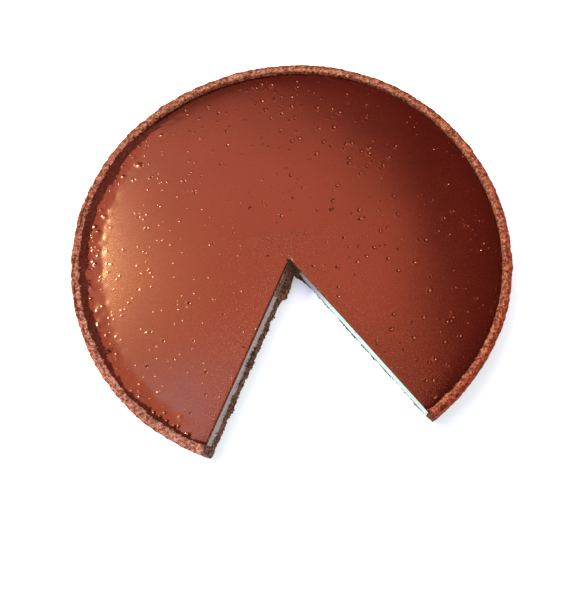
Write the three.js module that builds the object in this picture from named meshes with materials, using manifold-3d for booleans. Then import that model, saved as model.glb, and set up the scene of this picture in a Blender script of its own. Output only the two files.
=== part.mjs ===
// A round chocolate tart with one slice taken out: a crumbly pastry case and a baked
// chocolate filling that stops just below its rim. Millimetres, +Z up. The origin is the
// centre of the tart ring, on the table, and the missing slice opens towards -Y.

import * as THREE from 'three';
import { mergeVertices } from 'three/addons/utils/BufferGeometryUtils.js';
import Module from 'manifold-3d';

// Driving dimensions
const RING_RADIUS = 120;
const HEIGHT = 20;
const WALL = 4.9;
const BASE = 7;
const RIM_DROP = 1.9;
const GAP = 0.3;

// The slice that was taken out
const SLICE_ANGLE = 61.7;
const APEX = new THREE.Vector2(-0.9, -5.6);
const BLADE_REACH = 160;
const BLADE_OVERSHOOT = 3;

// Pastry: rounded edges, crumbs and the seam line baked into part of the rim
const FOOT_ROUND = 1.6;
const RIM_ROUND = 0.9;
const CRUMB_DEPTH = 0.45;
const CRUMB_GRAIN = 5.5;
const TORN_DEPTH = 0.7;
const TORN_GRAIN = 4.5;
const TORN_PROUD = 0.35;
const SEAM_INSET = 2.3;
const SEAM_WIDTH = 0.9;
const SEAM_DEPTH = 0.8;
const SEAM_START = 105;
const SEAM_END = 205;

// Filling: a level top that creeps up the wall, with baked blisters along one side
const CREEP_HEIGHT = 0.55;
const CREEP_REACH = 2.5;
const SWELL_HEIGHT = 0.12;
const SWELL_GRAIN = 40;
const BLISTER_HEIGHT = 0.5;
const BLISTER_GRAIN = 7;
const BLISTER_REACH = 11;
const BLISTER_MIDDLE = 172;
const BLISTER_HALF_SPREAD = 62;

// The ring is a little out of round: lobes, height in millimetres, direction in degrees
const OUT_OF_ROUND = [
  { lobes: 2, height: 1.1, phase: 284 },
  { lobes: 3, height: 0.36, phase: 259 },
  { lobes: 4, height: 0.53, phase: 216 },
];

// Fineness of the faceted solids
const CRUST_SEGMENTS = 180;
const FILLING_SEGMENTS = 144;
const WALL_ROWS = 4;
const ARC_STEPS = 2;
const TORN_STEP = 3.4;
const TORN_ROWS = 9;
const LEVEL = 0.01;

const INNER_RADIUS = RING_RADIUS - WALL;
const FILLING_FLOOR = BASE + GAP;
const FILLING_TOP = HEIGHT - RIM_DROP;
const FILLING_RADIUS = INNER_RADIUS - GAP;

const wasm = await Module();
wasm.setup();

// ---- Small helpers -------------------------------------------------------------------

// A repeatable value from -1 to 1 for each corner of a unit lattice
function latticeValue(i, j, k) {
  const wave = Math.sin(i * 127.1 + j * 311.7 + k * 74.7) * 43758.5453;
  return 2 * (wave - Math.floor(wave)) - 1;
}

// Smooth noise from -1 to 1 that changes over about one grain
function noise(x, y, z, grain) {
  const place = [x / grain, y / grain, z / grain];
  const cell = place.map(Math.floor);
  const ease = place.map((value, axis) => THREE.MathUtils.smoothstep(value - cell[axis], 0, 1));
  let sum = 0;
  for (let corner = 0; corner < 8; corner += 1) {
    const step = [corner & 1, (corner >> 1) & 1, corner >> 2];
    const weights = step.map((side, axis) => (side ? ease[axis] : 1 - ease[axis]));
    const value = latticeValue(cell[0] + step[0], cell[1] + step[1], cell[2] + step[2]);
    sum += value * weights[0] * weights[1] * weights[2];
  }
  return sum;
}

function degreesAround(x, y) {
  return (THREE.MathUtils.radToDeg(Math.atan2(y, x)) + 360) % 360;
}

// How far the ring bulges at this angle
function bulge(angle) {
  const radians = THREE.MathUtils.degToRad(angle);
  const wave = ({ lobes, height, phase }) =>
    height * Math.cos(lobes * radians - THREE.MathUtils.degToRad(phase));
  return OUT_OF_ROUND.reduce((sum, lobe) => sum + wave(lobe), 0);
}

// Points of a quarter circle, each with its share of the crumb relief
function quarterArc(centreRadius, centreHeight, radius, fromDegrees, crumb) {
  const points = [];
  for (let step = 0; step <= ARC_STEPS; step += 1) {
    const angle = THREE.MathUtils.degToRad(fromDegrees + (90 * step) / ARC_STEPS);
    const along = centreRadius + radius * Math.cos(angle);
    const up = centreHeight + radius * Math.sin(angle);
    points.push([along, up, crumb]);
  }
  return points;
}

// A closed body of revolution, each of whose points is then moved by shift(point, crumb)
function revolve(profile, segments, shift) {
  const outline = profile.map(([radius, height]) => new THREE.Vector2(radius, height));
  const geometry = new THREE.LatheGeometry(outline, segments);
  geometry.rotateX(Math.PI / 2);
  const places = geometry.getAttribute('position');
  const point = new THREE.Vector3();
  for (let index = 0; index < places.count; index += 1) {
    const [radius, , crumb] = profile[index % profile.length];
    const turn = Math.floor(index / profile.length) % segments;
    point.fromBufferAttribute(places, index);
    if (turn === 0) {
      point.set(0, -radius, point.z);
    }
    const scale = 1 + bulge(degreesAround(point.x, point.y)) / RING_RADIUS;
    point.set(point.x * scale, point.y * scale, point.z);
    shift(point, crumb);
    places.setXYZ(index, point.x, point.y, point.z);
  }
  return geometry;
}

// A three.js geometry as a solid that can be cut
function toSolid(geometry) {
  const bare = geometry.clone();
  bare.deleteAttribute('normal');
  bare.deleteAttribute('uv');
  const merged = mergeVertices(bare, 1e-4);
  const corners = merged.getIndex().array;
  const kept = [];
  for (let first = 0; first < corners.length; first += 3) {
    const [a, b, c] = corners.slice(first, first + 3);
    if (a !== b && b !== c && c !== a) {
      kept.push(a, b, c);
    }
  }
  const vertProperties = new Float32Array(merged.getAttribute('position').array);
  const triVerts = new Uint32Array(kept);
  return new wasm.Manifold(new wasm.Mesh({ numProp: 3, vertProperties, triVerts }));
}

function toMesh(solid, name, look) {
  const { vertProperties, triVerts } = solid.getMesh();
  const geometry = new THREE.BufferGeometry();
  geometry.setAttribute('position', new THREE.BufferAttribute(vertProperties, 3));
  geometry.setIndex(new THREE.BufferAttribute(triVerts, 1));
  geometry.computeVertexNormals();
  const mesh = new THREE.Mesh(geometry, new THREE.MeshStandardMaterial(look));
  mesh.name = name;
  return mesh;
}

// ---- The missing slice ---------------------------------------------------------------

// The wedge of space that the slice left, with its two long faces in steps of faceStep and
// moved along their normals by relief(point)
function sliceSpace(faceStep, rows, relief) {
  const half = THREE.MathUtils.degToRad(SLICE_ANGLE / 2);
  const steps = Math.ceil(BLADE_REACH / faceStep);
  const outline = [APEX.clone()];
  for (const side of [-1, 1]) {
    const along = new THREE.Vector2(side * Math.sin(half), -Math.cos(half));
    const edge = [];
    for (let step = 1; step <= steps; step += 1) {
      edge.push(APEX.clone().addScaledVector(along, (BLADE_REACH * step) / steps));
    }
    outline.push(...(side < 0 ? edge : edge.reverse()));
  }
  const depth = HEIGHT + 2 * BLADE_OVERSHOOT;
  const settings = { depth, steps: rows, bevelEnabled: false };
  const geometry = new THREE.ExtrudeGeometry(new THREE.Shape(outline), settings);
  geometry.translate(0, 0, -BLADE_OVERSHOOT);
  const places = geometry.getAttribute('position');
  const point = new THREE.Vector3();
  for (let index = 0; index < places.count; index += 1) {
    point.fromBufferAttribute(places, index);
    const side = Math.sign(point.x - APEX.x);
    const fromApex = Math.hypot(point.x - APEX.x, point.y - APEX.y);
    if (fromApex > faceStep / 2) {
      const push = relief(point);
      point.x += side * Math.cos(half) * push;
      point.y += Math.sin(half) * push;
    }
    places.setXYZ(index, point.x, point.y, point.z);
  }
  return toSolid(geometry);
}

// Torn crumb on the pastry's cut faces, which stands slightly proud of the clean knife cut
function tornCrumb(point) {
  return TORN_DEPTH * noise(point.x, point.y, point.z, TORN_GRAIN) - TORN_PROUD;
}

function cleanCut() {
  return 0;
}

// ---- Pastry case ---------------------------------------------------------------------

// Half section of the case: floor, foot, outside of the wall, rim, inside of the wall
function crustProfile() {
  const points = [[0, 0, 0], [INNER_RADIUS / 2, 0, 0], [INNER_RADIUS, 0, 0]];
  points.push(...quarterArc(RING_RADIUS - FOOT_ROUND, FOOT_ROUND, FOOT_ROUND, -90, 0.6));
  const wallFoot = FOOT_ROUND;
  const wallHead = HEIGHT - RIM_ROUND;
  for (let row = 1; row < WALL_ROWS; row += 1) {
    points.push([RING_RADIUS, THREE.MathUtils.lerp(wallFoot, wallHead, row / WALL_ROWS), 1]);
  }
  points.push(...quarterArc(RING_RADIUS - RIM_ROUND, wallHead, RIM_ROUND, 0, 1));
  for (const inset of [SEAM_INSET - SEAM_WIDTH / 2, SEAM_INSET, SEAM_INSET + SEAM_WIDTH / 2]) {
    points.push([RING_RADIUS - inset, HEIGHT, 1]);
  }
  points.push(...quarterArc(INNER_RADIUS + RIM_ROUND, wallHead, RIM_ROUND, 90, 1));
  points.push([INNER_RADIUS, FILLING_TOP + CREEP_HEIGHT, 0.3]);
  points.push([INNER_RADIUS, BASE, 0], [INNER_RADIUS / 2, BASE, 0], [0, BASE, 0]);
  return points;
}

// The thin crack that runs along part of the rim
function seamDepth(point) {
  const angle = degreesAround(point.x, point.y);
  const inset = RING_RADIUS - Math.hypot(point.x, point.y) + bulge(angle);
  const onSeam = Math.abs(inset - SEAM_INSET) < SEAM_WIDTH / 4 && point.z > FILLING_TOP;
  if (!onSeam || angle < SEAM_START || angle > SEAM_END) {
    return 0;
  }
  const broken = 0.6 + 0.4 * noise(point.x, point.y, 0, 3 * CRUMB_GRAIN);
  return SEAM_DEPTH * broken;
}

// Crumbles the pastry, apart from its flat underside
function shapeCrust(point, crumb) {
  if (point.z < LEVEL) {
    return;
  }
  const { x, y, z } = point;
  const seam = seamDepth(point);
  const depth = CRUMB_DEPTH * crumb;
  point.x += depth * noise(x, y, z, CRUMB_GRAIN);
  point.y += depth * noise(y, z, x, CRUMB_GRAIN);
  point.z += depth * noise(z, x, y, CRUMB_GRAIN) - seam;
}

function makeCrust() {
  const whole = toSolid(revolve(crustProfile(), CRUST_SEGMENTS, shapeCrust));
  const space = sliceSpace(TORN_STEP, TORN_ROWS, tornCrumb);
  const look = { color: 0x9c4f2e, roughness: 0.9, metalness: 0 };
  return toMesh(whole.subtract(space), 'crust', look);
}

// ---- Chocolate filling ---------------------------------------------------------------

// How high the filling's top stands over its level at a place
function fillingRise(x, y) {
  const angle = degreesAround(x, y);
  const toWall = INNER_RADIUS - Math.hypot(x, y) + bulge(angle);
  const creep = CREEP_HEIGHT * Math.exp(-Math.max(toWall, 0) / CREEP_REACH);
  const swell = SWELL_HEIGHT * noise(x, y, 0, SWELL_GRAIN);
  const spread = 1 - Math.abs(angle - BLISTER_MIDDLE) / BLISTER_HALF_SPREAD;
  const reach = 1 - Math.abs(toWall - BLISTER_REACH / 2) / BLISTER_REACH;
  const share = Math.max(spread, 0) * Math.max(reach, 0);
  return creep + swell + BLISTER_HEIGHT * share * noise(x, y, 9, BLISTER_GRAIN);
}

function fillingProfile() {
  const topInsets = [0, 1.2, 3, 5.5, 9, 13, 19, 30, 50, 80];
  const points = [[0, FILLING_FLOOR, 0], [FILLING_RADIUS, FILLING_FLOOR, 0]];
  for (const inset of topInsets) {
    points.push([FILLING_RADIUS - inset, FILLING_TOP, 1]);
  }
  points.push([0, FILLING_TOP, 1]);
  return points;
}

function shapeFilling(point, top) {
  point.z += top * fillingRise(point.x, point.y);
}

function makeFilling() {
  const whole = toSolid(revolve(fillingProfile(), FILLING_SEGMENTS, shapeFilling));
  const space = sliceSpace(BLADE_REACH, 1, cleanCut);
  const look = { color: 0x6a2a1c, roughness: 0.35, metalness: 0 };
  return toMesh(whole.subtract(space), 'filling', look);
}

// ---- The tart ------------------------------------------------------------------------

const tart = new THREE.Group();
tart.add(makeCrust(), makeFilling());

export default tart;
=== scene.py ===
"""The looks of a chocolate tart with one slice taken out: a crumbly pastry case round a
glossy baked chocolate filling. Metres, +Z up, the missing slice opens towards -Y."""
import math

import bmesh
import bpy
import numpy as np
from mathutils import Matrix, Vector
from mathutils.geometry import delaunay_2d_cdt, tessellate_polygon


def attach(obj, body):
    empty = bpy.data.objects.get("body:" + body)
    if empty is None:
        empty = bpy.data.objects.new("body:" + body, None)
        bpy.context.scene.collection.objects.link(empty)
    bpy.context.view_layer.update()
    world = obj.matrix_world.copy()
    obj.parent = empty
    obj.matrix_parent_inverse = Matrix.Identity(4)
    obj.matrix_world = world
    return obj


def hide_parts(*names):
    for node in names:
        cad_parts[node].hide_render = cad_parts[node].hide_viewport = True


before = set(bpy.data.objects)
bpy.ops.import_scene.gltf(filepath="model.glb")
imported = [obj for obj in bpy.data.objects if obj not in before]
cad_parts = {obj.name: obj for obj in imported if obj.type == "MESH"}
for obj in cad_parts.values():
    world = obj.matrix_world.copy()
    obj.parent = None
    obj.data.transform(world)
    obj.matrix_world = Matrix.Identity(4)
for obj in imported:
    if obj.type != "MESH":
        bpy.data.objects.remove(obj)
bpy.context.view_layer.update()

MM = 0.001
DEGREE = math.pi / 180

# Driving dimensions, the same as the solids'
RING_RADIUS = 120 * MM
HEIGHT = 20 * MM
WALL = 4.9 * MM
BASE = 7 * MM
RIM_DROP = 1.9 * MM
SLICE_ANGLE = 61.7 * DEGREE
APEX = np.array((-0.9, -5.6)) * MM
FOOT_ROUND = 1.6 * MM
RIM_ROUND = 0.9 * MM
OUT_OF_ROUND = ((2, 1.1 * MM, 284), (3, 0.36 * MM, 259), (4, 0.53 * MM, 216))

INNER_RADIUS = RING_RADIUS - WALL
FILLING_TOP = HEIGHT - RIM_DROP
HALF_SLICE = SLICE_ANGLE / 2

# Places round the tart are given in degrees, from +X towards +Y

# Crumb relief of the pastry: how far it stands and how wide its grains are
CRUMB = ((0.30 * MM, 5.5 * MM), (0.27 * MM, 2.3 * MM), (0.30 * MM, 1.2 * MM))
TORN = ((0.5 * MM, 4.5 * MM), (0.45 * MM, 1.9 * MM), (0.45 * MM, 0.9 * MM))
TORN_PROUD = 0.35 * MM
TORN_SHRUNK = 1.0 * MM
TORN_REACH = 1.5 * MM
CLUMP_PROUD = 2.0 * MM
CLUMP_START = 3 * MM
CLUMP_END = 19 * MM
APEX_FILL = 2.5 * MM
APEX_FILL_REACH = 8 * MM
CRUMB_PROUD = 0.4 * MM
SEAM_INSET = 2.1 * MM
SEAM_WIDTH = 1.0 * MM
SEAM_DEPTH = 0.8 * MM
SEAM_START = 150
SEAM_END = 202
SEAM_FADE = 12
# The colours round the rim, partly painted light and shade, run over this span, which ends past both
# cuts
AROUND_END = 250
AROUND_SPAN = 312
CRUMBS_A_CUT = 240
CRUMBS_AN_END = 45
CRUMBS_ON_RIM = 620
PALE_SPECK_CRUMBS = 45
LOOSE_CRUMBS = 5
LOOSE_CRUMBS_MIDDLE = 302.8
CUT_CRUMB_RADII = (0.3 * MM, 0.7 * MM)
RIM_CRUMB_RADII = (0.25 * MM, 0.6 * MM)
LOOSE_CRUMB_RADII = (0.4 * MM, 0.8 * MM)
PALE_SPECK_RADII = (0.18 * MM, 0.34 * MM)
# The share of the rim's crumbs that lie where its top breaks off towards the filling
BREAK_OFF_SHARE = 0.65
# Places in the list of materials of the pastry's pieces
PASTRY_LOOK, CRUMB_LOOK = 0, 1
# The left wall end takes the darker torn crumb look and the right one the paler baked pastry look:
# partly painted shade at the left end, which faces away from the light, and painted light at the right
WALL_END_LOOK = {-1: CRUMB_LOOK, 1: PASTRY_LOOK}

# Fineness of the two meshes
COLUMN_STEP = 0.6 * MM
ROW_STEP = 0.55 * MM
FACE_STEP = 0.55 * MM
TOP_STEP = 0.95 * MM
HIDDEN_STEP = 1.4 * MM

# Chocolate filling
SHRINK_DEPTH = 0.5 * MM
SHRINK_REACH = 3.0 * MM
SWELL_HEIGHT = 0.12 * MM
SWELL_GRAIN = 40 * MM
BLISTER_HEIGHT = 0.28 * MM
BLISTER_GRAIN = 3.2 * MM
BLISTER_REACH = 9 * MM
BLISTER_MIDDLE = 172
BLISTER_HALF_SPREAD = 62
# How many marks, their radii, and their heights as shares of the radius
PIMPLES = (330, (0.42 * MM, 0.68 * MM), (0.12, 0.26))
PITS = (170, (0.45 * MM, 0.8 * MM), (-0.5, -0.3))
BLISTERS = (85, (0.8 * MM, 1.9 * MM), (0.11, 0.21))
# Rows of beads at the wall: first and last angle, degrees apart, radii
BEAD_ARCS = ((105, 138, 1.0, (0.35 * MM, 0.7 * MM)), (222, 236, 1.9, (0.8 * MM, 1.2 * MM)))
INTO_WALL = 1.0 * MM
EDGE_ROUND = 0.5 * MM
EDGE_DROP = 0.35 * MM
# A dark, matt edge of the filling along the wall: partly a drier baked edge and partly painted shade
# from the wall, widest at the upper left where the wall's shadow falls
DRY_SHADED_EDGE = 1.3 * MM
DRY_SHADED_EDGE_WIDEST = 4.4 * MM
DRY_SHADED_EDGE_MIDDLE = 146
DRY_SHADED_EDGE_HALF_SPREAD = 95
DRY_SHADED_EDGE_RAGGED = ((1.2 * MM, 5 * MM), (0.6 * MM, 1.8 * MM))
# The left cut has a painted shadow under its top edge, in the dark matt look, for this many mesh rows,
# the right one for none
PAINTED_SHADOW_ROWS = {-1: 2, 1: 0}
# The raised border of the filling at the left
BANK_HEIGHT = 1.5 * MM
BANK_REACH = 10.5 * MM
BANK_CURVE = 1.5
BANK_WANDER = 1.4 * MM
BANK_MIDDLE = 181
BANK_HALF_SPREAD = 62
BANK_FULL_SHARE = 0.65
# Relief of the filling's cut faces: level streaks on an uneven ground
STREAK_DEPTH = 0.08 * MM
STREAK_GRAIN = 1.4 * MM
UNEVEN_DEPTH = 0.05 * MM
UNEVEN_GRAIN = 2.5 * MM
# How grainy the filling looks, which fades out over this reach from the cuts
SANDY_REACH = 16 * MM
SANDY_LEAST = 0.086
SANDY_ON_BANK = 0.047
SANDY_BY_CUT = 0.85
# Places in the list of materials of the filling
GLAZE_LOOK, CUT_LOOK, DRY_SHADED_LOOK = 0, 1, 2

rng = np.random.default_rng(7)


# ---- Numbers ---------------------------------------------------------------------------

def lattice_value(cell):
    """A repeatable value from -1 to 1 for each corner of a unit lattice."""
    wave = np.sin(cell @ np.array((127.1, 311.7, 74.7))) * 43758.5453
    return 2 * (wave - np.floor(wave)) - 1


def noise(points, grain):
    """Smooth noise from -1 to 1 that changes over about one grain."""
    place = points / grain
    cell = np.floor(place)
    ease = (place - cell) ** 2 * (3 - 2 * (place - cell))
    total = np.zeros(len(points))
    for corner in range(8):
        step = np.array((corner & 1, (corner >> 1) & 1, corner >> 2))
        weight = np.prod(np.where(step == 1, ease, 1 - ease), axis=1)
        total += weight * lattice_value(cell + step)
    return total


def noise_vector(points, grain):
    """Smooth noise along each of the three axes."""
    turned = (points, points[:, (1, 2, 0)], points[:, (2, 0, 1)])
    return np.stack([noise(each, grain) for each in turned], axis=1)


def smoothstep(value, low, high):
    """From 0 at low to 1 at high, eased at both ends."""
    share = np.clip((value - low) / (high - low), 0, 1)
    return share * share * (3 - 2 * share)


def degrees_around(plan):
    return np.degrees(np.arctan2(plan[:, 1], plan[:, 0])) % 360


def bulge(angle):
    """How far the ring bulges at this angle, in degrees."""
    waves = [high * np.cos(np.radians(lobes * angle - phase)) for lobes, high, phase in OUT_OF_ROUND]
    return np.sum(waves, axis=0)


def ring_radius(plan):
    """The distance from the middle, as if the ring were truly round."""
    return np.hypot(plan[:, 0], plan[:, 1]) / (1 + bulge(degrees_around(plan)) / RING_RADIUS)


# ---- The cut ---------------------------------------------------------------------------

# Side -1 is the left cut and side 1 the right one
SIDES = (-1, 1)
# A fan's first column lies on the left cut and its last one on the right cut
CUT_COLUMNS = ((-1, 0), (1, -1))
CUT_DIRECTION = {side: np.array((side * math.sin(HALF_SLICE), -math.cos(HALF_SLICE))) for side in SIDES}
INTO_BODY = {side: np.array((side * math.cos(HALF_SLICE), math.sin(HALF_SLICE))) for side in SIDES}


def along_rays(directions, radius):
    """Where rays from the cut's apex meet the ring of this radius, on the out-of-round plan."""
    reach = np.full(len(directions), radius)
    middle = directions @ APEX
    for _ in range(6):
        plan = APEX + directions * reach[:, None]
        true_radius = radius * (1 + bulge(degrees_around(plan)) / RING_RADIUS)
        reach = -middle + np.sqrt(middle**2 - APEX @ APEX + true_radius**2)
    return reach


def fan_directions(step):
    """Unit directions from the apex, all round the tart from one cut to the other."""
    ends = []
    for side in SIDES:
        direction = CUT_DIRECTION[side][None, :]
        corner = APEX + direction * along_rays(direction, RING_RADIUS)[:, None]
        ends.append(degrees_around(corner)[0])
    sweep = 360 - (ends[1] - ends[0])
    count = round(sweep * DEGREE * RING_RADIUS / step)
    angles = np.radians(ends[0] - np.linspace(0, sweep, count + 1))
    rim = RING_RADIUS * np.stack((np.cos(angles), np.sin(angles)), axis=1)
    away = rim * (1 + bulge(np.degrees(angles) % 360) / RING_RADIUS)[:, None] - APEX
    directions = away / np.linalg.norm(away, axis=1)[:, None]
    directions[0] = CUT_DIRECTION[-1]
    directions[-1] = CUT_DIRECTION[1]
    return directions


def from_cut(plan, side):
    """The distance from a cut's plane into the body."""
    return (plan - APEX) @ INTO_BODY[side]


def from_nearest_cut(plan):
    """The distance from the nearer cut's plane, on either side of it."""
    return np.minimum(np.abs(from_cut(plan, -1)), np.abs(from_cut(plan, 1)))


# ---- Meshes ----------------------------------------------------------------------------

class Net:
    """Points and triangles that are added part by part and share their corners."""

    def __init__(self):
        self.points = np.zeros((0, 3))
        self.faces = []
        self.looks = []

    def add_points(self, points):
        first = len(self.points)
        self.points = np.concatenate((self.points, points))
        return np.arange(first, first + len(points))

    def add_grid(self, grid, look):
        """Two triangles for each cell of a grid of point numbers."""
        a, b = grid[:-1, :-1].ravel(), grid[1:, :-1].ravel()
        c, d = grid[1:, 1:].ravel(), grid[:-1, 1:].ravel()
        triangles = np.concatenate((np.stack((a, b, c), 1), np.stack((a, c, d), 1)))
        self.add_faces(triangles, look)

    def add_faces(self, triangles, look):
        spans = (triangles[:, 0] != triangles[:, 1]) & (triangles[:, 1] != triangles[:, 2])
        kept = triangles[spans & (triangles[:, 0] != triangles[:, 2])]
        self.faces.append(kept)
        self.looks.append(np.full(len(kept), look))

    def add_patch(self, numbers, plan, keeps, look):
        """A Delaunay mesh over these points in the plane that plan gives, less what keeps() drops."""
        flat = [Vector(place) for place in (plan[numbers] / MM).tolist()]
        _, _, faces, origins, _, _ = delaunay_2d_cdt(flat, [], [], 0, 1e-6, True)
        triangles = numbers[np.array([origin[0] for origin in origins])[np.array(faces)]]
        centres = plan[triangles].mean(axis=1)
        self.add_faces(triangles[keeps(centres)], look)

    def add_flat(self, outline, look):
        """Triangles that fill one level outline, with no points inside it."""
        loop = [Vector((x, y, 0)) for x, y, _ in (self.points[outline] / MM).tolist()]
        self.add_faces(outline[np.array(tessellate_polygon([loop]))], look)

    def build(self, name, materials, sharp, shares=None):
        """The finished piece. Shares are named values from 0 to 1, one for each point."""
        mesh = bpy.data.meshes.new(name)
        faces = np.concatenate(self.faces)
        mesh.from_pydata(self.points.tolist(), [], faces.tolist())
        for material in materials:
            mesh.materials.append(material)
        mesh.polygons.foreach_set("material_index", np.concatenate(self.looks).astype(np.int32))
        mesh.polygons.foreach_set("use_smooth", np.ones(len(faces), bool))
        facing = bmesh.new()
        facing.from_mesh(mesh)
        bmesh.ops.recalc_face_normals(facing, faces=facing.faces)
        facing.to_mesh(mesh)
        facing.free()
        mesh.set_sharp_from_angle(angle=sharp)
        for title, values in (shares or {}).items():
            carried = mesh.attributes.new(title, "FLOAT", "POINT")
            carried.data.foreach_set("value", values.astype(np.float32))
        piece = bpy.data.objects.new(name, mesh)
        bpy.context.scene.collection.objects.link(piece)
        return piece


def spread(start, end, step):
    """Values from start to end, both included, about a step apart."""
    return np.linspace(start, end, max(round(abs(end - start) / step), 1) + 1)


def arc(centre, radius, first, last, steps):
    """Places along an arc in a section, between two angles in degrees."""
    angles = np.radians(np.linspace(first, last, steps + 1))
    return [(centre[0] + radius * math.cos(a), centre[1] + radius * math.sin(a)) for a in angles]


# ---- Pastry case -----------------------------------------------------------------------

def crust_section():
    """Radius and height, from the foot up the outside, over the rim and down inside."""
    wall_head = HEIGHT - RIM_ROUND
    rows = arc((RING_RADIUS - FOOT_ROUND, FOOT_ROUND), FOOT_ROUND, -90, 0, 5)
    rows += [(RING_RADIUS, z) for z in spread(FOOT_ROUND, wall_head, ROW_STEP)[1:-1]]
    rows += arc((RING_RADIUS - RIM_ROUND, wall_head), RIM_ROUND, 0, 90, 4)
    rim_ends = (RING_RADIUS - RIM_ROUND, INNER_RADIUS + RIM_ROUND)
    rows += [(r, HEIGHT) for r in spread(*rim_ends, 0.36 * MM)[1:-1]]
    rows += arc((INNER_RADIUS + RIM_ROUND, wall_head), RIM_ROUND, 90, 180, 4)
    rows += [(INNER_RADIUS, z) for z in spread(wall_head, FILLING_TOP - MM, ROW_STEP)[1:]]
    rows += [(INNER_RADIUS, z) for z in spread(FILLING_TOP - MM, BASE, HIDDEN_STEP)[1:]]
    return rows


def seam_share(points):
    """From 0 to 1, where the thin broken crack runs along part of the rim."""
    angle = degrees_around(points)
    inset = RING_RADIUS - ring_radius(points)
    wander = 0.5 * MM * noise(points * (1, 1, 0), 9 * MM)
    groove = np.clip(1 - np.abs(inset - SEAM_INSET - wander) / (SEAM_WIDTH / 2), 0, 1)
    begun = smoothstep(angle, SEAM_START, SEAM_START + SEAM_FADE)
    ends = begun * (1 - smoothstep(angle, SEAM_END - SEAM_FADE, SEAM_END))
    broken = smoothstep(noise(points * (1, 1, 0), 4 * MM), -0.5, 0.1)
    on_rim = smoothstep(points[:, 2], HEIGHT - MM, HEIGHT - 0.3 * MM)
    return groove * ends * broken * on_rim


def inner_share(points):
    """From 0 to 1, over the paler inner half of the rim."""
    inset = RING_RADIUS - ring_radius(points) + 0.5 * MM * noise(points, 2.5 * MM)
    return smoothstep(inset, SEAM_INSET - 0.4 * MM, SEAM_INSET + 0.8 * MM)


def around_share(points):
    """How far round the rim, from 0 past the right cut over the top to 1 past the left cut."""
    return 1 - (AROUND_END - degrees_around(points)) % 360 / AROUND_SPAN


def pastry_shares(points):
    return {"seam": seam_share(points), "inner": inner_share(points), "around": around_share(points)}


def torn(points, side):
    """How far the torn pastry stands out of a cut's plane."""
    rough = sum(depth * noise(points + side, grain) for depth, grain in TORN)
    along = (points[:, :2] - APEX) @ CUT_DIRECTION[side]
    most = 0.45 * np.clip(along, 0, None) * math.tan(HALF_SLICE)
    if side > 0:
        rough -= TORN_SHRUNK * smoothstep(along, 5 * MM, 12 * MM)
    else:
        ragged = 1.5 * MM * noise(points, 3.5 * MM)
        clump = smoothstep(along + ragged, CLUMP_START - 3 * MM, CLUMP_START)
        clump = clump * (1 - smoothstep(along + ragged, CLUMP_END - MM, CLUMP_END))
        rough += TORN_PROUD + CLUMP_PROUD * clump * (points[:, 2] < BASE + MM)
    return np.clip(rough, -most, most)


def crumble(points):
    """Moves the points of the case to their crumbly places."""
    radius = ring_radius(points)
    off_floor = smoothstep(points[:, 2], 0, FOOT_ROUND)
    wall = off_floor * smoothstep(radius, INNER_RADIUS - 2 * MM, INNER_RADIUS)
    above_filling = smoothstep(points[:, 2], FILLING_TOP - MM, HEIGHT - RIM_ROUND)
    inside = 1 - smoothstep(radius, INNER_RADIUS + 0.2 * MM, INNER_RADIUS + 1.5 * MM)
    share = wall * (1 - 0.6 * inside * (1 - above_filling))
    moved = points.copy()
    for depth, grain in CRUMB:
        moved += (depth * share)[:, None] * noise_vector(points, grain)
    moved[:, :2] += CRUMB_PROUD * wall[:, None] * points[:, :2] / RING_RADIUS
    moved[:, 2] -= SEAM_DEPTH * seam_share(points)
    for side in SIDES:
        away = from_cut(points[:, :2], side)
        near = np.exp(-np.abs(away) / TORN_REACH) * (np.sign(points[:, 0] - APEX[0]) == side)
        out = near * torn(points, side)
        moved[:, :2] -= out[:, None] * INTO_BODY[side]
    from_apex = np.hypot(*(points[:, :2] - APEX).T)
    moved[:, 1] -= APEX_FILL * (1 - smoothstep(from_apex, 0, APEX_FILL_REACH))
    moved[:, 2] = np.maximum(moved[:, 2], 0)
    moved[points[:, 2] < 1e-6, 2] = 0
    return moved


def jittered_inside(low, high, step, margin, accepts):
    """Points of a jittered triangular lattice that accepts(plan) keeps."""
    xs = np.arange(low[0] + margin, high[0] - margin / 2, step)
    ys = np.arange(low[1] + margin, high[1] - margin / 2, step * math.sqrt(0.75))
    grid = np.stack(np.meshgrid(xs, ys), axis=-1)
    grid[1::2, :, 0] += step / 2
    plan = grid.reshape(-1, 2)
    plan = plan + rng.uniform(-0.22 * step, 0.22 * step, plan.shape)
    return plan[accepts(plan)]


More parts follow.
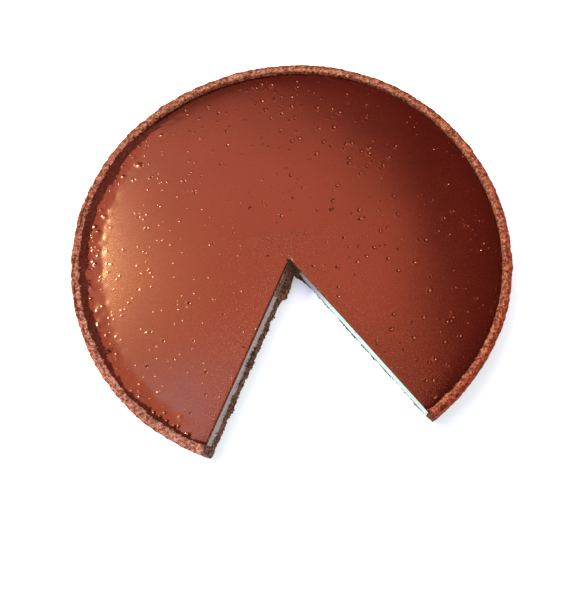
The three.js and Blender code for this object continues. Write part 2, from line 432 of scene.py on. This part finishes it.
def build_crust(materials):
    net = Net()
    directions = fan_directions(COLUMN_STEP)
    section = crust_section()
    columns = len(directions)
    band = np.zeros((columns, len(section)), int)
    reaches = np.zeros((columns, len(section)))
    for row, (radius, z) in enumerate(section):
        reach = along_rays(directions, radius)
        plan = APEX + directions * reach[:, None]
        band[:, row] = net.add_points(np.column_stack((plan, np.full(columns, z))))
        reaches[:, row] = reach
    apex_heights = spread(0, BASE, FACE_STEP)
    apex_line = net.add_points(np.array([(*APEX, z) for z in apex_heights]))

    edges = {}
    for side, column in CUT_COLUMNS:
        direction = CUT_DIRECTION[side]
        for name, z, end in (("foot", 0, reaches[column, 0]), ("floor", BASE, reaches[column, -1])):
            stations = spread(0, end, FACE_STEP)[1:-1]
            places = [(*(APEX + direction * t), z) for t in stations]
            edges[side, name] = net.add_points(np.array(places))
        inner, outer = reaches[column, -1], reaches[column].max()

        def in_section(plan, inner=inner, outer=outer):
            in_base = (plan[:, 1] < BASE - 0.35 * MM) & (plan[:, 0] < inner)
            in_wall = (plan[:, 0] > inner + HIDDEN_STEP * 0.6) & (plan[:, 0] < outer - 0.4 * MM)
            corner = (outer - FOOT_ROUND - plan[:, 0]) + (FOOT_ROUND - plan[:, 1])
            return in_base | (in_wall & (plan[:, 1] < HEIGHT - MM) & (corner > -FOOT_ROUND / 2))

        places = jittered_inside((0, 0), (outer, HEIGHT), FACE_STEP, 0.4 * MM, in_section)
        world = np.column_stack((APEX + places[:, :1] * direction, places[:, 1]))
        edges[side, "inside"] = net.add_points(world)

    flat = net.points.copy()
    net.points = crumble(flat)
    net.add_grid(band, PASTRY_LOOK)
    foot = np.concatenate((apex_line[:1], edges[-1, "foot"], band[:, 0], edges[1, "foot"][::-1]))
    floor = np.concatenate((apex_line[-1:], edges[-1, "floor"], band[:, -1], edges[1, "floor"][::-1]))
    net.add_flat(foot, PASTRY_LOOK)
    net.add_flat(floor, CRUMB_LOOK)
    for side, column in CUT_COLUMNS:
        rim = (apex_line, edges[side, "floor"], band[column], edges[side, "foot"])
        numbers = np.concatenate((*rim, edges[side, "inside"]))
        unrolled = np.column_stack(((flat[:, :2] - APEX) @ CUT_DIRECTION[side], flat[:, 2]))
        inner = reaches[column, -1]

        def in_base(plan):
            return plan[:, 1] < BASE

        def in_wall(plan, inner=inner):
            return (plan[:, 1] >= BASE) & (plan[:, 0] > inner)

        net.add_patch(numbers, unrolled, in_base, CRUMB_LOOK)
        net.add_patch(numbers, unrolled, in_wall, WALL_END_LOOK[side])
    return net.build("crust_baked", materials, 60 * DEGREE, pastry_shares(flat))


def on_ring(angle, inset):
    """The plan place at this angle, in degrees, this far inside the outer edge."""
    away = (RING_RADIUS - inset) * (1 + bulge(angle) / RING_RADIUS)
    return away * np.array((math.cos(angle * DEGREE), math.sin(angle * DEGREE)))


def cut_crumbs(side):
    """Centre, radius and look of each crumb that clings to a cut."""
    direction = CUT_DIRECTION[side]
    inner, outer = along_rays(np.array((direction, direction)), np.array((INNER_RADIUS, RING_RADIUS)))
    stations = []
    for _ in range(CRUMBS_A_CUT):
        stations.append((rng.uniform(2 * MM, inner), rng.uniform(0.8 * MM, BASE), CRUMB_LOOK))
    for _ in range(CRUMBS_AN_END):
        along, z = rng.uniform(inner, outer - MM), rng.uniform(BASE, HEIGHT - MM)
        stations.append((along, z, WALL_END_LOOK[side]))
    crumbs = []
    for along, z, look in stations:
        place = np.array((*(APEX + direction * along), z))
        radius = rng.uniform(*CUT_CRUMB_RADII)
        out = torn(place[None, :], side)[0] + 0.5 * radius
        place[:2] -= out * INTO_BODY[side]
        crumbs.append((place, radius, look))
    return crumbs


def rim_crumbs():
    """Crumbs along the rim, most of them where its top breaks off towards the filling."""
    crumbs = []
    while len(crumbs) < CRUMBS_ON_RIM:
        inner_edge = rng.uniform() < BREAK_OFF_SHARE
        inset = rng.uniform(3.9 * MM, 4.9 * MM) if inner_edge else rng.uniform(0.2 * MM, 3.9 * MM)
        plan = on_ring(rng.uniform(0, 360), inset)
        radius = rng.uniform(*RIM_CRUMB_RADII)
        if in_body(plan[None, :], MM)[0]:
            z = HEIGHT - (rng.uniform(0.2 * MM, 1.0 * MM) if inner_edge else 0.1 * MM)
            crumbs.append((np.array((*plan, z)), radius, PASTRY_LOOK))
    return crumbs


def on_filling(plan, radius):
    """A crumb that lies on the filling at this plan place."""
    top = FILLING_TOP + filling_rise(plan[None, :], [])[0]
    return np.array((*plan, top + 0.4 * radius)), radius, PASTRY_LOOK


def loose_crumbs():
    """The few crumbs that lie on the filling near the right cut, and tiny pale crumbs strewn over its
    right half.
    """
    crumbs = []
    for _ in range(LOOSE_CRUMBS):
        plan = on_ring(LOOSE_CRUMBS_MIDDLE + rng.normal(0, 0.7), WALL + rng.uniform(MM, 7 * MM))
        crumbs.append(on_filling(plan, rng.uniform(*LOOSE_CRUMB_RADII)))
    while len(crumbs) < LOOSE_CRUMBS + PALE_SPECK_CRUMBS:
        plan = on_ring(rng.uniform(-60, 90), WALL + INNER_RADIUS * rng.uniform(0.03, 0.9) ** 2)
        if in_body(plan[None, :], MM)[0]:
            crumbs.append(on_filling(plan, rng.uniform(*PALE_SPECK_RADII)))
    return crumbs


def build_crumbs(materials):
    ball = bmesh.new()
    bmesh.ops.create_icosphere(ball, subdivisions=1, radius=1)
    corners = np.array([corner.co[:] for corner in ball.verts])
    faces = np.array([[corner.index for corner in face.verts] for face in ball.faces])
    ball.free()
    net = Net()
    for centre, radius, look in cut_crumbs(-1) + cut_crumbs(1) + rim_crumbs() + loose_crumbs():
        uneven = 1 + 0.3 * noise(corners * MM + centre, 0.9 * MM)
        stretch = rng.uniform(0.6, 1.1, 3)
        lump = centre + radius * corners * uneven[:, None] * stretch
        lump[:, 2] = np.maximum(lump[:, 2], 0.05 * MM)
        numbers = net.add_points(lump)
        net.add_faces(numbers[faces], look)
    return net.build("pastry_crumbs", materials, 80 * DEGREE, pastry_shares(net.points))


# ---- Chocolate filling -----------------------------------------------------------------

def to_wall(plan):
    """The distance in from the wall, below 0 for places in the wall."""
    return INNER_RADIUS - ring_radius(plan)


def blister_share(plan):
    """From 0 to 1, in the blistered band along the wall at the left."""
    angle = degrees_around(plan)
    around = 1 - np.abs(angle - BLISTER_MIDDLE) / BLISTER_HALF_SPREAD
    across = 1 - np.abs(to_wall(plan) - BLISTER_REACH / 2) / BLISTER_REACH
    return np.maximum(around, 0) * np.maximum(across, 0)


def bank_share(plan):
    """From 0 to 1, where the filling has crept up the wall."""
    turned = np.abs(degrees_around(plan) - BANK_MIDDLE)
    return 1 - smoothstep(turned, BANK_HALF_SPREAD * BANK_FULL_SHARE, BANK_HALF_SPREAD)


def in_dry_shaded_edge(plan):
    """True in the dark, matt, ragged edge of the filling along the wall, which is widest at the upper
    left. Its darkness is partly a drier baked edge and partly painted shade from the wall.
    """
    at = np.column_stack((plan, np.zeros(len(plan))))
    ragged = sum(depth * noise(at, grain) for depth, grain in DRY_SHADED_EDGE_RAGGED)
    turned = np.abs(degrees_around(plan) - DRY_SHADED_EDGE_MIDDLE)
    widened = 1 - smoothstep(turned, 0, DRY_SHADED_EDGE_HALF_SPREAD)
    return to_wall(plan) < DRY_SHADED_EDGE + (DRY_SHADED_EDGE_WIDEST - DRY_SHADED_EDGE) * widened + ragged


def filling_rise(plan, marks):
    """How high the filling's top stands over its level."""
    at = np.column_stack((plan, np.zeros(len(plan))))
    inset = np.maximum(to_wall(plan), 0)
    bank = bank_share(plan)
    rise = SWELL_HEIGHT * noise(at, SWELL_GRAIN)
    wander = BANK_WANDER * noise(at, 8 * MM) * smoothstep(inset, 0, 5 * MM)
    climb = np.clip(1 - (to_wall(plan) + wander) / BANK_REACH, 0, None)
    rise += bank * BANK_HEIGHT * climb**BANK_CURVE
    rise -= (1 - bank) * SHRINK_DEPTH * np.exp(-inset / SHRINK_REACH)
    rise += BLISTER_HEIGHT * blister_share(plan) * noise(at + (0, 0, 9 * MM), BLISTER_GRAIN)
    for x, y, radius, height in marks:
        apart = np.hypot(plan[:, 0] - x, plan[:, 1] - y) / radius
        cap = height * np.clip(1 - apart**2, 0, None) ** 2
        ring = max(-height, 0) * 0.3 * np.exp(-(((apart - 1.1) / 0.25) ** 2))
        rise += cap + ring
    rounding = np.clip(1 - from_nearest_cut(plan) / EDGE_ROUND, 0, 1) ** 2
    rise -= EDGE_DROP * rounding * (plan[:, 1] < APEX[1] + MM)
    return rise


def scatter(count, radii, steepness, accepts):
    """Round marks at random places that accepts(plan) gives a chance from 0 to 1."""
    marks = []
    while len(marks) < count:
        place = rng.uniform(-INNER_RADIUS, INNER_RADIUS, (1, 2))
        radius = rng.uniform(*radii)
        height = radius * rng.uniform(*steepness)
        chance = rng.uniform()
        clear = to_wall(place)[0] > radius + 0.3 * MM and in_body(place, radius + 0.3 * MM)[0]
        if clear and chance < accepts(place)[0]:
            marks.append((*place[0], radius, height))
    return marks


def in_body(plan, margin):
    """True for places that lie in the tart, this far from both cuts."""
    left, right = from_cut(plan, -1), from_cut(plan, 1)
    return np.where(plan[:, 0] < APEX[0], left, right) > margin


def surface_marks():
    def left_side(plan):
        return 0.25 + 0.75 * (1 - smoothstep(plan[:, 0], -60 * MM, 50 * MM))

    def right_side(plan):
        return 0.25 + 0.75 * smoothstep(plan[:, 0], -70 * MM, 0)

    marks = scatter(*PIMPLES, left_side)
    marks += scatter(*PITS, right_side)
    marks += scatter(*BLISTERS, blister_share)
    for start, end, step, radii in BEAD_ARCS:
        for angle in spread(start, end, step):
            turn = (angle + rng.normal(0, 0.5)) * DEGREE
            radius = rng.uniform(*radii)
            inset = radius + abs(rng.normal(0.8 * MM, 0.8 * MM))
            away = INNER_RADIUS * (1 + bulge(angle) / RING_RADIUS) - inset
            height = radius * rng.uniform(0.45, 0.75)
            marks.append((away * math.cos(turn), away * math.sin(turn), radius, height))
    return marks


def cut_stations(side):
    """Distances from the apex at which the cut's edge has points."""
    direction = CUT_DIRECTION[side][None, :]
    end = along_rays(direction, INNER_RADIUS + INTO_WALL)[0]
    return spread(0, end, FACE_STEP)


def build_filling(materials):
    net = Net()
    marks = surface_marks()
    directions = fan_directions(COLUMN_STEP * 1.4)
    outer = APEX + directions * along_rays(directions, INNER_RADIUS + INTO_WALL)[:, None]
    edge_plan = {side: APEX + CUT_DIRECTION[side] * cut_stations(side)[1:-1, None] for side in SIDES}

    rows = []
    between_cuts = directions[2:-2]
    for inset in (INTO_WALL, INTO_WALL + 0.5 * MM, INTO_WALL + 1.1 * MM):
        reach = along_rays(between_cuts, INNER_RADIUS + INTO_WALL - inset)
        inner = APEX + between_cuts * reach[:, None]
        rows.append(inner[in_body(inner, 0.6 * MM)])
    for side in SIDES:
        for inset in (EDGE_ROUND / 3, EDGE_ROUND * 2 / 3, EDGE_ROUND):
            rows.append(edge_plan[side][2:-3] + INTO_BODY[side] * inset)
    for x, y, radius, _ in marks:
        for share, count in ((0.35, 6), (0.7, 8), (1.05, 10)):
            turn = 2 * math.pi * np.arange(count) / count + share * 2
            circle = np.stack((np.cos(turn), np.sin(turn)), axis=1)
            rows.append((x, y) + radius * share * circle)
        rows.append(np.array([(x, y)]))

    def in_top(plan):
        return (to_wall(plan) > 1.0 * MM) & in_body(plan, EDGE_ROUND + 0.4 * MM)

    size = INNER_RADIUS * 1.02
    lattice = jittered_inside((-size, -size), (size, size), TOP_STEP, 0, in_top)
    for x, y, radius, _ in marks:
        lattice = lattice[np.hypot(lattice[:, 0] - x, lattice[:, 1] - y) > radius * 1.25]
    crowded = np.concatenate(rows)
    inside_plan = np.concatenate((crowded[in_body(crowded, 0.15 * MM)], lattice))

    def on_top(plan):
        return np.column_stack((plan, FILLING_TOP + filling_rise(plan, marks)))

    apex_top = net.add_points(on_top(APEX[None, :]))
    top_edges = {side: net.add_points(on_top(edge_plan[side])) for side in SIDES}
    top_outer = net.add_points(on_top(outer))
    inside = net.add_points(on_top(inside_plan))
    numbers = np.concatenate((apex_top, top_edges[-1], top_outer, top_edges[1], inside))

    def is_glossy(plan):
        return in_body(plan, 0) & ~in_dry_shaded_edge(plan)

    def is_dry_shaded(plan):
        return in_body(plan, 0) & in_dry_shaded_edge(plan)

    net.add_patch(numbers, net.points[:, :2], is_glossy, GLAZE_LOOK)
    # The dark matt edge along the wall, partly a drier edge and partly painted shade
    net.add_patch(numbers, net.points[:, :2], is_dry_shaded, DRY_SHADED_LOOK)

    levels = np.linspace(1, 0, round((FILLING_TOP - BASE) / FACE_STEP) + 1)[1:]

    def lowered(numbers, level, side):
        points = net.points[numbers].copy()
        points[:, 2] = BASE + (points[:, 2] - BASE) * level
        if side:
            streak = STREAK_DEPTH * noise(points * (0.04, 0.04, 1) + side, STREAK_GRAIN)
            streak += UNEVEN_DEPTH * noise(points, UNEVEN_GRAIN)
            points[:, :2] -= (streak * smoothstep(level, 1, 0.9))[:, None] * INTO_BODY[side]
        return points

    apex_line = np.array([net.add_points(lowered(apex_top, level, 0))[0] for level in levels])
    walls = {}
    for side in SIDES:
        grid = [net.add_points(lowered(top_edges[side], level, side)) for level in levels]
        walls[side] = np.stack([top_edges[side]] + grid, axis=1)
    outer_rows = [net.add_points(lowered(top_outer, level, 0)) for level in levels]
    outer_grid = np.stack([top_outer] + outer_rows, axis=1)
    apex_column = np.concatenate((apex_top, apex_line))
    for side, column in CUT_COLUMNS:
        face = np.concatenate((apex_column[None, :], walls[side], outer_grid[column][None, :]))
        # Painted shadow: the top rows of the left cut take the dark matt look
        net.add_grid(face[:, : PAINTED_SHADOW_ROWS[side] + 1], DRY_SHADED_LOOK)
        net.add_grid(face[:, PAINTED_SHADOW_ROWS[side] :], CUT_LOOK)
    net.add_grid(outer_grid, GLAZE_LOOK)
    left, right = walls[-1][:, -1], walls[1][::-1, -1]
    foot = np.concatenate((apex_column[-1:], left, outer_grid[:, -1], right))
    net.add_flat(foot, GLAZE_LOOK)
    plan = net.points[:, :2]
    by_cut = np.exp(-from_nearest_cut(plan) / SANDY_REACH) * (plan[:, 1] < APEX[1] + SANDY_REACH)
    shares = {"sandy": SANDY_LEAST + SANDY_ON_BANK * bank_share(plan) + SANDY_BY_CUT * by_cut}
    return net.build("filling_baked", materials, 50 * DEGREE, shares)


# ---- Materials -------------------------------------------------------------------------

class Nodes:
    """A material's node tree, with short calls for the nodes that the looks need."""

    def __init__(self, name):
        self.material = bpy.data.materials.new(name)
        self.material.use_nodes = True
        self.tree = self.material.node_tree
        self.shader = self.tree.nodes["Principled BSDF"]
        self.place = self.tree.nodes.new("ShaderNodeTexCoord").outputs["Object"]

    def link(self, source, socket):
        self.tree.links.new(source, socket)

    def share(self, title):
        """A value that the mesh carries at each of its points."""
        node = self.tree.nodes.new("ShaderNodeAttribute")
        node.attribute_name = title
        return node.outputs["Fac"]

    def noise(self, size, detail=2.0, roughness=0.55, squeeze=(1, 1, 1)):
        """Noise of this grain. Squeeze below 1 draws the grains out along that axis."""
        mapping = self.tree.nodes.new("ShaderNodeMapping")
        mapping.inputs["Scale"].default_value = squeeze
        self.link(self.place, mapping.inputs["Vector"])
        node = self.tree.nodes.new("ShaderNodeTexNoise")
        node.inputs["Scale"].default_value = 1 / size
        node.inputs["Detail"].default_value = detail
        node.inputs["Roughness"].default_value = roughness
        self.link(mapping.outputs["Vector"], node.inputs["Vector"])
        return node.outputs["Fac"]

    def spots(self, size):
        node = self.tree.nodes.new("ShaderNodeTexVoronoi")
        node.inputs["Scale"].default_value = 1 / size
        self.link(self.place, node.inputs["Vector"])
        return node.outputs["Distance"]

    def ramp(self, value, *stops):
        """Maps a value to colours, or to greys where a stop holds one number."""
        node = self.tree.nodes.new("ShaderNodeValToRGB")
        self.link(value, node.inputs["Fac"])
        elements = node.color_ramp.elements
        while len(elements) < len(stops):
            elements.new(0.5)
        for element, (place, colour) in zip(elements, stops):
            element.position = place
            grey = isinstance(colour, (int, float))
            element.color = (colour, colour, colour, 1) if grey else (*colour, 1)
        return node.outputs["Color"]

    def mix(self, share, first, second, blend="MIX"):
        node = self.tree.nodes.new("ShaderNodeMix")
        node.data_type = "RGBA"
        node.blend_type = blend
        factor, colour_a, colour_b = node.inputs[0], node.inputs[6], node.inputs[7]
        for socket, value in ((factor, share), (colour_a, first), (colour_b, second)):
            if isinstance(value, (int, float)):
                socket.default_value = value
            elif isinstance(value, tuple):
                socket.default_value = (*value, 1)
            else:
                self.link(value, socket)
        return node.outputs[2]

    def bump(self, height, strength, depth):
        node = self.tree.nodes.new("ShaderNodeBump")
        node.inputs["Distance"].default_value = depth
        self.link(height, node.inputs["Height"])
        if isinstance(strength, (int, float)):
            node.inputs["Strength"].default_value = strength
        else:
            self.link(strength, node.inputs["Strength"])
        return node.outputs["Normal"]


def pastry_material():
    nodes = Nodes("baked_pastry")
    around = nodes.share("around")
    # The tone round the rim, and the inner half against the outer, is partly the pastry's own uneven
    # bake and partly painted light and shade: a lit inner edge at the right and a shaded one at the
    # left
    right, top, left = (0.132, 0.0118, 0.0050), (0.130, 0.0210, 0.0086), (0.195, 0.029, 0.0135)
    outer = nodes.ramp(around, (0, right), (0.44, top), (0.79, left), (0.94, (0.205, 0.046, 0.030)))
    right, top, left = (0.185, 0.031, 0.0155), (0.180, 0.042, 0.0220), (0.150, 0.030, 0.0180)
    inner = nodes.ramp(around, (0, right), (0.50, top), (0.70, left), (0.82, (0.175, 0.043, 0.029)))
    tone = nodes.mix(nodes.share("inner"), outer, inner)
    dark, light = (0.25, 0.16, 0.14), (2.0, 2.8, 3.2)
    grains = nodes.ramp(nodes.noise(1.6 * MM, 5, 0.8), (0.41, dark), (0.50, (1, 1, 1)), (0.59, light))
    colour = nodes.mix(1.0, tone, grains, "MULTIPLY")
    # Nearly black along the crack: painted shade in its groove
    colour = nodes.mix(nodes.share("seam"), colour, (0.02, 0.005, 0.003))
    nodes.link(colour, nodes.shader.inputs["Base Color"])
    nodes.shader.inputs["Roughness"].default_value = 0.8
    nodes.shader.inputs["Specular IOR Level"].default_value = 0.2
    nodes.shader.inputs["Specular Tint"].default_value = (1.0, 0.5, 0.3, 1)
    fine = nodes.bump(nodes.noise(1.1 * MM, 4, 0.75), 0.9, 0.7 * MM)
    nodes.link(fine, nodes.shader.inputs["Normal"])
    return nodes.material


def crumb_material():
    nodes = Nodes("torn_pastry_crumb")
    dark, middle, light = (0.022, 0.007, 0.005), (0.095, 0.030, 0.018), (0.34, 0.13, 0.075)
    grains = nodes.ramp(nodes.noise(1.1 * MM, 4, 0.7), (0.38, dark), (0.52, middle), (0.7, light))
    nodes.link(grains, nodes.shader.inputs["Base Color"])
    nodes.shader.inputs["Roughness"].default_value = 0.9
    nodes.shader.inputs["Specular IOR Level"].default_value = 0.3
    nodes.link(nodes.bump(nodes.noise(0.7 * MM, 3, 0.7), 0.6, 0.3 * MM), nodes.shader.inputs["Normal"])
    return nodes.material


def glaze_material():
    nodes = Nodes("baked_chocolate")
    sandy = nodes.share("sandy")
    darker, paler = (0.026, 0.0009, 0.0006), (0.036, 0.0015, 0.0010)
    tone = nodes.ramp(nodes.noise(30 * MM, 3), (0.3, darker), (0.7, paler))
    # Pale specks where the filling is grainy: painted glints of its grainy surface, over the
    # chocolate's own tone
    specks = nodes.ramp(nodes.noise(0.6 * MM, 1), (0.60, 0), (0.72, 1))
    specks = nodes.mix(1.0, specks, sandy, "MULTIPLY")
    nodes.link(nodes.mix(specks, tone, (0.13, 0.048, 0.038)), nodes.shader.inputs["Base Color"])
    nodes.shader.inputs["Roughness"].default_value = 0.19
    nodes.shader.inputs["IOR"].default_value = 1.8
    nodes.shader.inputs["Specular Tint"].default_value = (1.0, 0.29, 0.125, 1)
    stipple = nodes.bump(nodes.noise(0.6 * MM, 1, 0.5), sandy, 0.14 * MM)
    nodes.link(stipple, nodes.shader.inputs["Normal"])
    return nodes.material


def dry_shaded_edge_material():
    # Dark and matt: partly a drier baked edge and partly painted shade, along the wall and under the
    # left cut's top edge
    nodes = Nodes("dry_shaded_chocolate_edge")
    grains = nodes.noise(1.2 * MM, 3, 0.7)
    tone = nodes.ramp(grains, (0.38, (0.018, 0.0012, 0.0006)), (0.62, (0.050, 0.0036, 0.0019)))
    nodes.link(tone, nodes.shader.inputs["Base Color"])
    nodes.shader.inputs["Roughness"].default_value = 0.55
    nodes.shader.inputs["Specular IOR Level"].default_value = 0.07
    nodes.shader.inputs["Specular Tint"].default_value = (1.0, 0.35, 0.2, 1)
    nodes.link(nodes.bump(grains, 0.5, 0.2 * MM), nodes.shader.inputs["Normal"])
    return nodes.material


def cut_material():
    nodes = Nodes("cut_chocolate")
    streaks = nodes.noise(2.0 * MM, 2, 0.6, squeeze=(0.05, 0.05, 1))
    # Level streaks of greyish brown, paler than the glaze: partly the cut chocolate's own tone and
    # partly painted reflection of the pale floor
    tone = nodes.ramp(streaks, (0.40, (0.012, 0.006, 0.004)), (0.60, (0.150, 0.078, 0.056)))
    # Nearly black in the small pits: painted shade in the holes
    pits = nodes.ramp(nodes.spots(2.4 * MM), (0.12, 0), (0.24, 1))
    nodes.link(nodes.mix(pits, (0.012, 0.004, 0.003), tone), nodes.shader.inputs["Base Color"])
    nodes.shader.inputs["Roughness"].default_value = 0.16
    nodes.shader.inputs["IOR"].default_value = 2.0
    nodes.shader.inputs["Specular Tint"].default_value = (1.0, 0.70, 0.66, 1)
    nodes.link(nodes.bump(pits, 0.8, 0.3 * MM), nodes.shader.inputs["Normal"])
    return nodes.material


def floor_material():
    nodes = Nodes("studio_floor")
    tone = nodes.ramp(nodes.noise(0.8, 2), (0.3, (0.90, 0.90, 0.90)), (0.7, (0.93, 0.92, 0.91)))
    nodes.link(tone, nodes.shader.inputs["Base Color"])
    nodes.shader.inputs["Roughness"].default_value = 0.7
    nodes.shader.inputs["Specular IOR Level"].default_value = 0.1
    return nodes.material


# ---- Floor, lights and camera ----------------------------------------------------------

FLOOR_SIZE = 24.0
# The floor lies a little lower than the tart's foot, so that they don't share a plane
FLOOR_DROP = 0.05 * MM


def add_floor():
    half = FLOOR_SIZE / 2
    corners = [(-half, -half, 0), (half, -half, 0), (half, half, 0), (-half, half, 0)]
    mesh = bpy.data.meshes.new("studio_floor")
    mesh.from_pydata(corners, [], [(0, 1, 2, 3)])
    mesh.materials.append(floor_material())
    floor = bpy.data.objects.new("studio_floor", mesh)
    floor.location.z = -FLOOR_DROP
    bpy.context.scene.collection.objects.link(floor)


def add_panel(name, centre, size, radiance, colour, aim=(0, 0, 0)):
    """A soft oval light that faces the place it aims at."""
    light = bpy.data.lights.new(name, "AREA")
    light.shape = "ELLIPSE"
    light.size, light.size_y = size
    light.energy = radiance * math.pi * math.pi / 4 * size[0] * size[1]
    light.color = colour
    panel = bpy.data.objects.new(name, light)
    panel.location = centre
    panel.rotation_mode = "QUATERNION"
    panel.rotation_quaternion = (Vector(centre) - Vector(aim)).to_track_quat("Z", "Y")
    panel.visible_camera = False
    bpy.context.scene.collection.objects.link(panel)


def toward(azimuth, height, away):
    """A place seen from the tart at this azimuth (from +Y towards +X) and height, in degrees."""
    level = away * math.cos(height * DEGREE)
    turn = azimuth * DEGREE
    return (level * math.sin(turn), level * math.cos(turn), away * math.sin(height * DEGREE))


# The panels overhead: place, size, radiance and colour
CEILING = ((-0.32, 0.45, 1.2), (1.18, 1.32), 3.2, (1.0, 0.69, 0.75))
VEIL = ((-0.42, 0.08, 1.19), (0.45, 0.4), 5.0, (0.02, 0.58, 1.7))
# The two lights from the side: azimuth and height in degrees, and distance in metres
WINDOW_FROM = (-50, 41, 1.5)
WINDOW_SIZE = (0.45, 0.6)
WINDOW_RADIANCE = 65
WINDOW_COLOUR = (0.98, 1.65, 1.4)
FILL_FROM = (143, 40, 1)
FILL_ENERGY = 3.8
FILL_WIDTH = 60 * DEGREE
FILL_COLOUR = (0.82, 0.97, 1.0)


def add_lights():
    for name, (place, size, radiance, colour) in (("ceiling_panel", CEILING), ("veil_panel", VEIL)):
        add_panel(name, place, size, radiance, colour, (place[0], place[1], 0))
    add_panel("window_panel", toward(*WINDOW_FROM), WINDOW_SIZE, WINDOW_RADIANCE, WINDOW_COLOUR)

    fill = bpy.data.lights.new("front_fill", "SUN")
    fill.energy = FILL_ENERGY
    fill.angle = FILL_WIDTH
    fill.color = FILL_COLOUR
    lamp = bpy.data.objects.new("front_fill", fill)
    lamp.rotation_mode = "QUATERNION"
    lamp.rotation_quaternion = Vector(toward(*FILL_FROM)).to_track_quat("Z", "Y")
    # A mirrored fill light turns the chocolate white in low views from behind
    lamp.visible_glossy = False
    bpy.context.scene.collection.objects.link(lamp)

    add_room()


def add_room():
    """The room round the tart: pale at the horizon and dim higher up."""
    world = bpy.data.worlds.new("studio")
    world.use_nodes = True
    tree = world.node_tree
    place = tree.nodes.new("ShaderNodeTexCoord").outputs["Generated"]
    split = tree.nodes.new("ShaderNodeSeparateXYZ")
    tree.links.new(place, split.inputs["Vector"])
    ramp = tree.nodes.new("ShaderNodeValToRGB")
    tree.links.new(split.outputs["Z"], ramp.inputs["Fac"])
    pale, dim = ramp.color_ramp.elements
    pale.position, pale.color = 0.12, (0.88, 0.90, 0.92, 1)
    dim.position, dim.color = 0.32, (0.16, 0.13, 0.13, 1)
    tree.links.new(ramp.outputs["Color"], tree.nodes["Background"].inputs["Color"])
    bpy.context.scene.world = world


CAMERA_PLACE = Vector((17.486, -148.760, 320.051)) * MM
CAMERA_AIM = Vector((24.320, -60.808, 0)) * MM
CAMERA_ROLL = -10.035 * DEGREE
CAMERA_LENS = 35.958
CAMERA_SHIFT = (-0.1000, 0.0917)


def add_camera():
    forward = (CAMERA_AIM - CAMERA_PLACE).normalized()
    level = forward.cross(Vector((0, 1, 0))).normalized()
    upright = level.cross(forward)
    right = math.cos(CAMERA_ROLL) * level + math.sin(CAMERA_ROLL) * upright
    up = math.cos(CAMERA_ROLL) * upright - math.sin(CAMERA_ROLL) * level
    data = bpy.data.cameras.new("photo_camera")
    data.lens = CAMERA_LENS
    data.sensor_width = 36
    data.shift_x, data.shift_y = CAMERA_SHIFT
    data.clip_start = 0.01
    camera = bpy.data.objects.new("photo_camera", data)
    turn = Matrix((right, up, -forward)).transposed()
    camera.matrix_world = Matrix.Translation(CAMERA_PLACE) @ turn.to_4x4()
    bpy.context.scene.collection.objects.link(camera)
    bpy.context.scene.camera = camera


# ---- The scene -------------------------------------------------------------------------

pastry_looks = (pastry_material(), crumb_material())
crust = build_crust(pastry_looks)
filling = build_filling((glaze_material(), cut_material(), dry_shaded_edge_material()))
for piece, node, finish in ((crust, "crust", "pastry"), (filling, "filling", "chocolate_filling")):
    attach(piece, "root")
    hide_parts(node)

crumbs = build_crumbs(pastry_looks)
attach(crumbs, "root")

add_floor()
add_lights()
add_camera()
bpy.context.scene.view_settings.view_transform = "Standard"
